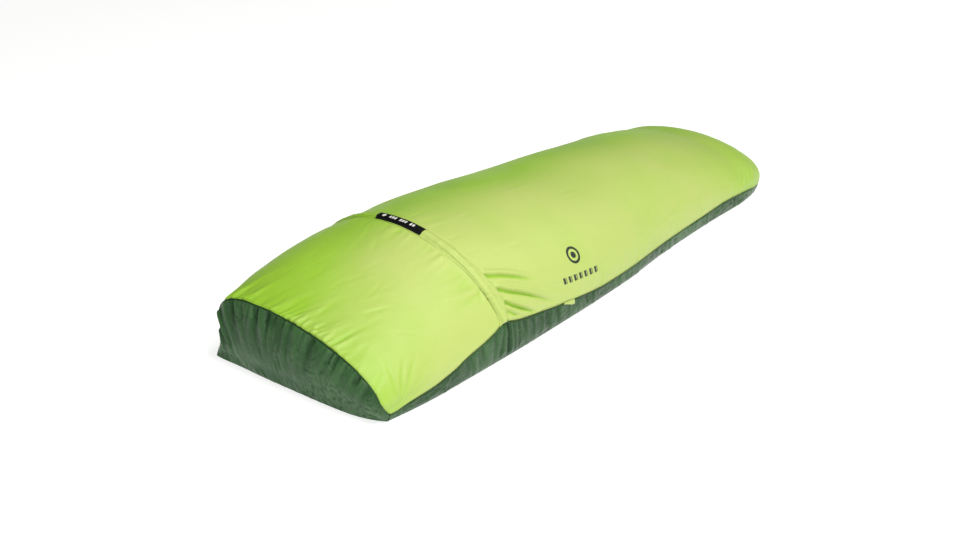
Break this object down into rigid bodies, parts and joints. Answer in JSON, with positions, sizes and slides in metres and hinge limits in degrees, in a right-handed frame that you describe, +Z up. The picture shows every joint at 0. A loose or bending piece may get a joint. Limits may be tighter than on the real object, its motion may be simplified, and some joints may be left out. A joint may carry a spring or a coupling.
{
  "type": "bivy sack",
  "caption": "One-person bivy sack: light top cloth, dark floor tub, curved zip across the chest under a storm flap, hood that folds back.",
  "frame": {"origin": "on the floor's underside, halfway along the sack, on its centre line", "axes": "+X from the head end to the foot, +Y to the sack's left, +Z up"},
  "size_m": [2.1122, 0.6996, 0.353],
  "materials": {
    "dark_nylon": "silicone-coated ripstop, slightly glossy",
    "lime_nylon": "fine ripstop, soft sheen",
    "seam_thread": "stitched ridge",
    "zip_tape": "woven tape",
    "coil_plastic": "nylon coil",
    "label_cloth": "woven label",
    "slider_metal": "black lacquer",
    "pull_metal": "black lacquer"
  },
  "bodies": {
    "bag": {"floor_sheet": "dark_nylon", "right_side_wall": "dark_nylon", "left_side_wall": "dark_nylon", "foot_end_wall": "dark_nylon", "head_end_panel": "dark_nylon", "canopy_panel": "lime_nylon", "right_side_seam": "seam_thread", "left_side_seam": "seam_thread", "head_seam": "seam_thread", "foot_seam": "seam_thread", "right_side_tab": "lime_nylon", "left_side_tab": "lime_nylon", "body_zip_tape": "zip_tape", "body_zip_coil": "coil_plastic", "right_zip_stop": "coil_plastic", "left_zip_stop": "coil_plastic"},
    "hood": {"hood_panel": "lime_nylon", "hood_zip_tape": "zip_tape", "hood_zip_coil": "coil_plastic", "storm_flap": "lime_nylon", "flap_label": "label_cloth"},
    "slider": {"slider_body": "slider_metal"},
    "pull": {"pull_tab": "pull_metal"}
  },
  "joints": [
    {"name": "hood_fold", "type": "hinge", "parent": "bag", "child": "hood", "pos_m": [-0.5487, 0.00406, 0.14419], "axis": [0.0106, -0.9979, -0.0638], "range_deg": [0, 70], "deforming": ["hood_panel"]},
    {"name": "slider_travel", "type": "hinge", "parent": "bag", "child": "slider", "pos_m": [-0.5159, 0.017, -0.05259], "axis": [0.9864, 0, 0.1644], "range_deg": [0, 113.6]},
    {"name": "pull_swing", "type": "hinge", "parent": "slider", "child": "pull", "pos_m": [-0.55631, 0.33948, 0.18983], "axis": [0.9864, 0, 0.1644], "range_deg": [0, 180]}
  ]
}
